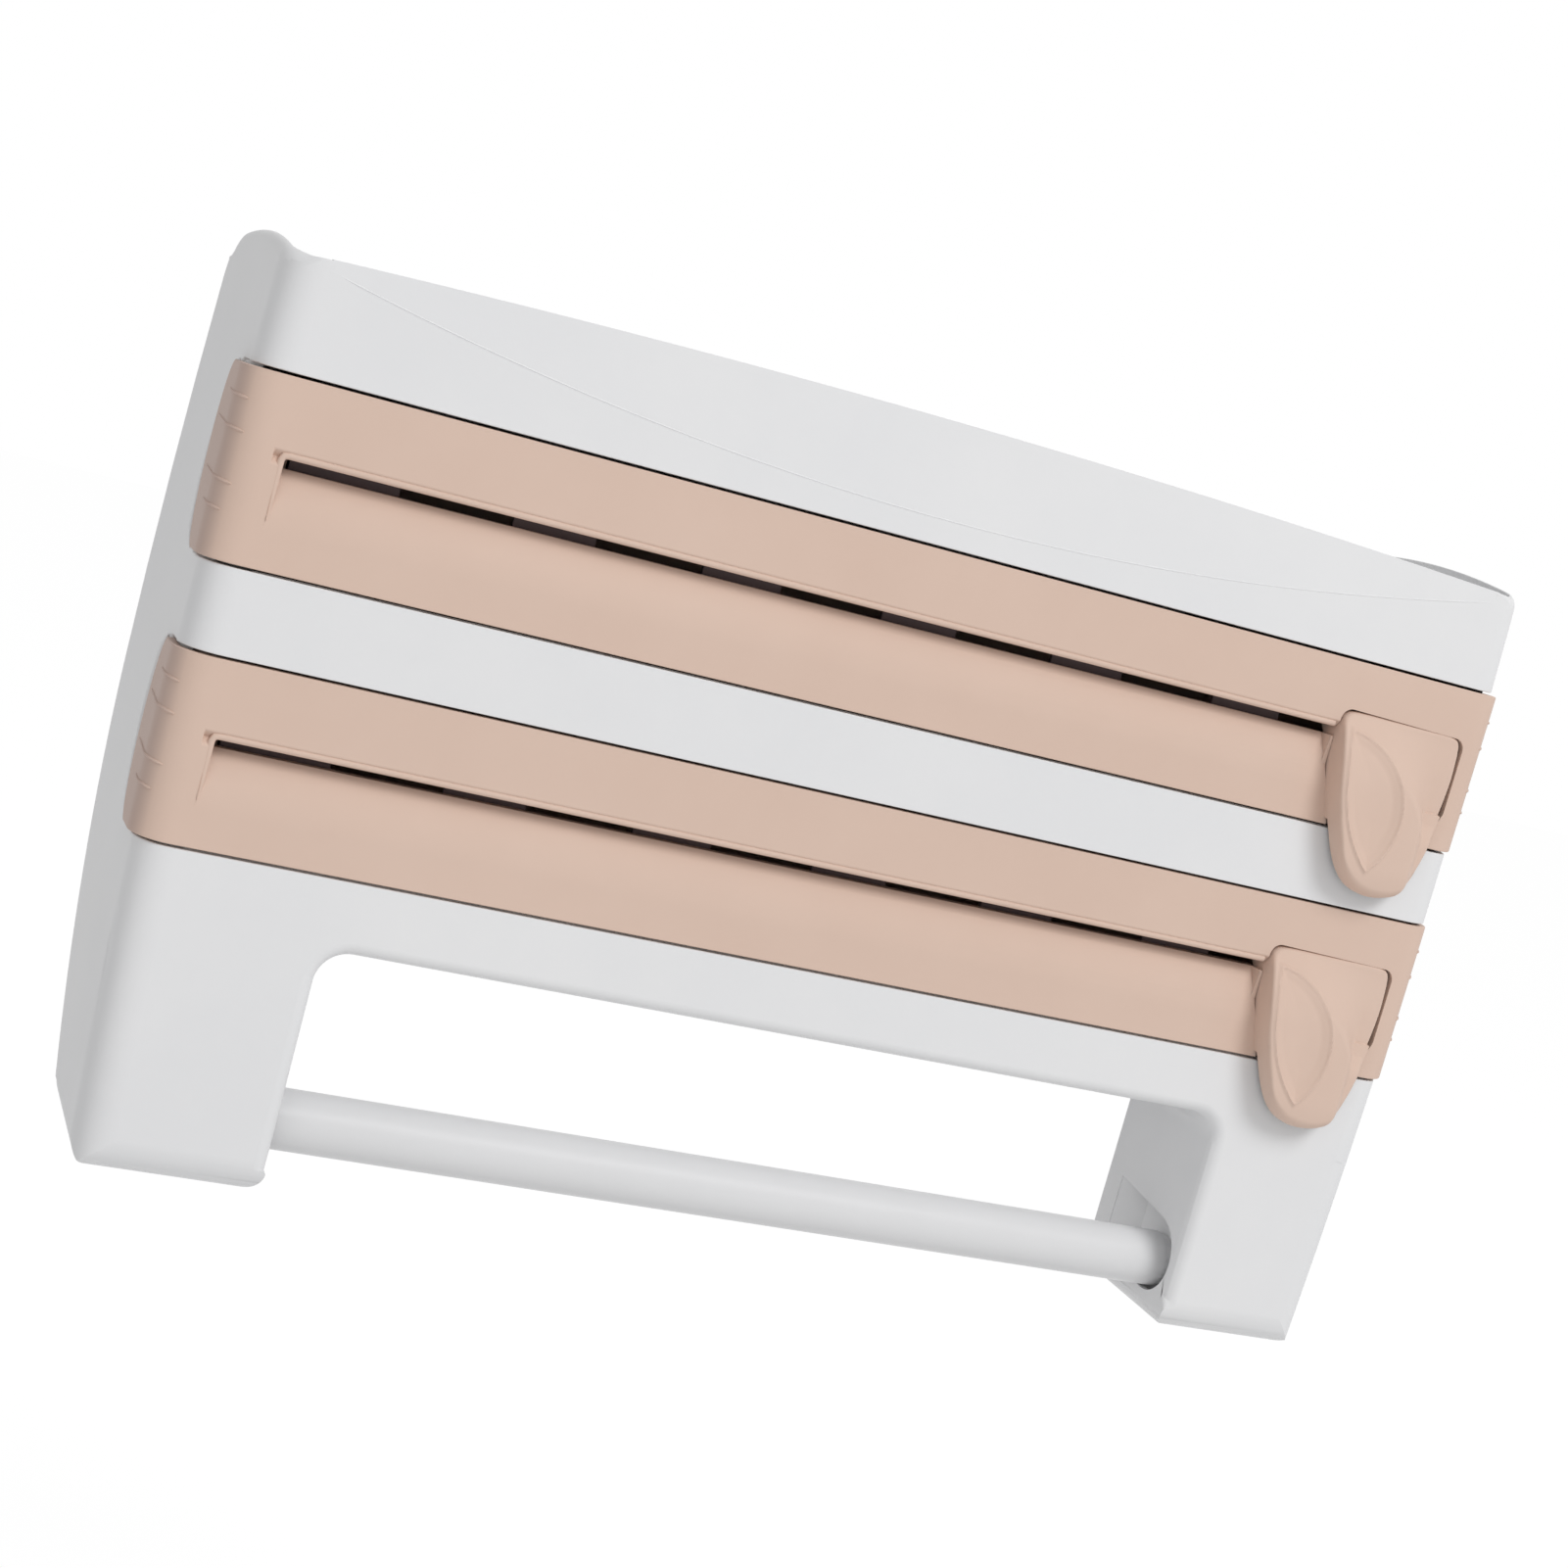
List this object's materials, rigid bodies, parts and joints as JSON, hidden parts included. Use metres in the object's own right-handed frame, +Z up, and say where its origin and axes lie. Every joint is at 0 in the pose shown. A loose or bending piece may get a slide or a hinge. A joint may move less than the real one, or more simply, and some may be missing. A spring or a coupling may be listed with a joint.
{
  "type": "wall-mounted cling film cutter",
  "caption": "Wall-mounted kitchen dispenser for cling film and foil: pull-out roll drawers with press levers and hidden saw blades, a spice shelf on top and a towel bar below.",
  "frame": {"origin": "on the wall plane, midway between the two hanging keyholes", "axes": "+X to the viewer's right along the front, +Y into the wall, +Z up; the front looks along -Y"},
  "size_m": [0.4004, 0.1105, 0.2532],
  "materials": {
    "white_plastic": "satin",
    "bar_white": "satin",
    "rose_plastic": "satin",
    "comb_plastic": "matt",
    "steel": "bright"
  },
  "bodies": {
    "housing": {"housing_shell": "white_plastic", "rear_panel": "white_plastic", "panel_screws": "steel", "spice_tray": "white_plastic", "upper_bay_floor": "white_plastic", "lower_bay_floor": "white_plastic", "upper_runners": "white_plastic", "lower_runners": "white_plastic"},
    "upper_drawer": {"upper_drawer_front": "rose_plastic", "upper_roll_trough": "rose_plastic", "upper_trough_screws": "steel", "upper_cutter_blade": "steel", "upper_pivot_pins": "steel", "upper_lever_spring": "steel"},
    "upper_lever": {"upper_clamp_comb": "comb_plastic", "upper_press_lever": "rose_plastic"},
    "lower_drawer": {"lower_drawer_front": "rose_plastic", "lower_roll_trough": "rose_plastic", "lower_trough_screws": "steel", "lower_cutter_blade": "steel", "lower_pivot_pins": "steel", "lower_lever_spring": "steel"},
    "lower_lever": {"lower_clamp_comb": "comb_plastic", "lower_press_lever": "rose_plastic"},
    "bar_plugs": {"left_bar_plug": "white_plastic", "right_bar_plug": "white_plastic"},
    "towel_bar": {"towel_bar_tube": "bar_white"}
  },
  "joints": [
    {"name": "upper_drawer_slide", "type": "slide", "parent": "housing", "child": "upper_drawer", "axis": [0, -1, 0], "range_m": [0, 0.055]},
    {"name": "upper_lever_press", "type": "hinge", "parent": "upper_drawer", "child": "upper_lever", "pos_m": [0, -0.087, -0.04], "axis": [1, 0, 0], "range_deg": [0, 5], "stiffness_Nm_per_rad": 1.2, "springref_deg": -3.44, "deforming": ["upper_lever_spring"]},
    {"name": "lower_drawer_slide", "type": "slide", "parent": "housing", "child": "lower_drawer", "axis": [0, -1, 0], "range_m": [0, 0.055]},
    {"name": "lower_lever_press", "type": "hinge", "parent": "lower_drawer", "child": "lower_lever", "pos_m": [0, -0.087, -0.1152], "axis": [1, 0, 0], "range_deg": [0, 5], "stiffness_Nm_per_rad": 1.2, "springref_deg": -3.44, "deforming": ["lower_lever_spring"]},
    {"name": "bar_draw", "type": "slide", "parent": "housing", "child": "bar_plugs", "axis": [0, 0.9951, 0.0993], "range_m": [0, 0.006]},
    {"name": "towel_bar_spin", "type": "hinge", "parent": "bar_plugs", "child": "towel_bar", "pos_m": [0, -0.08, -0.2045], "axis": [1, 0, 0], "continuous": true}
  ]
}
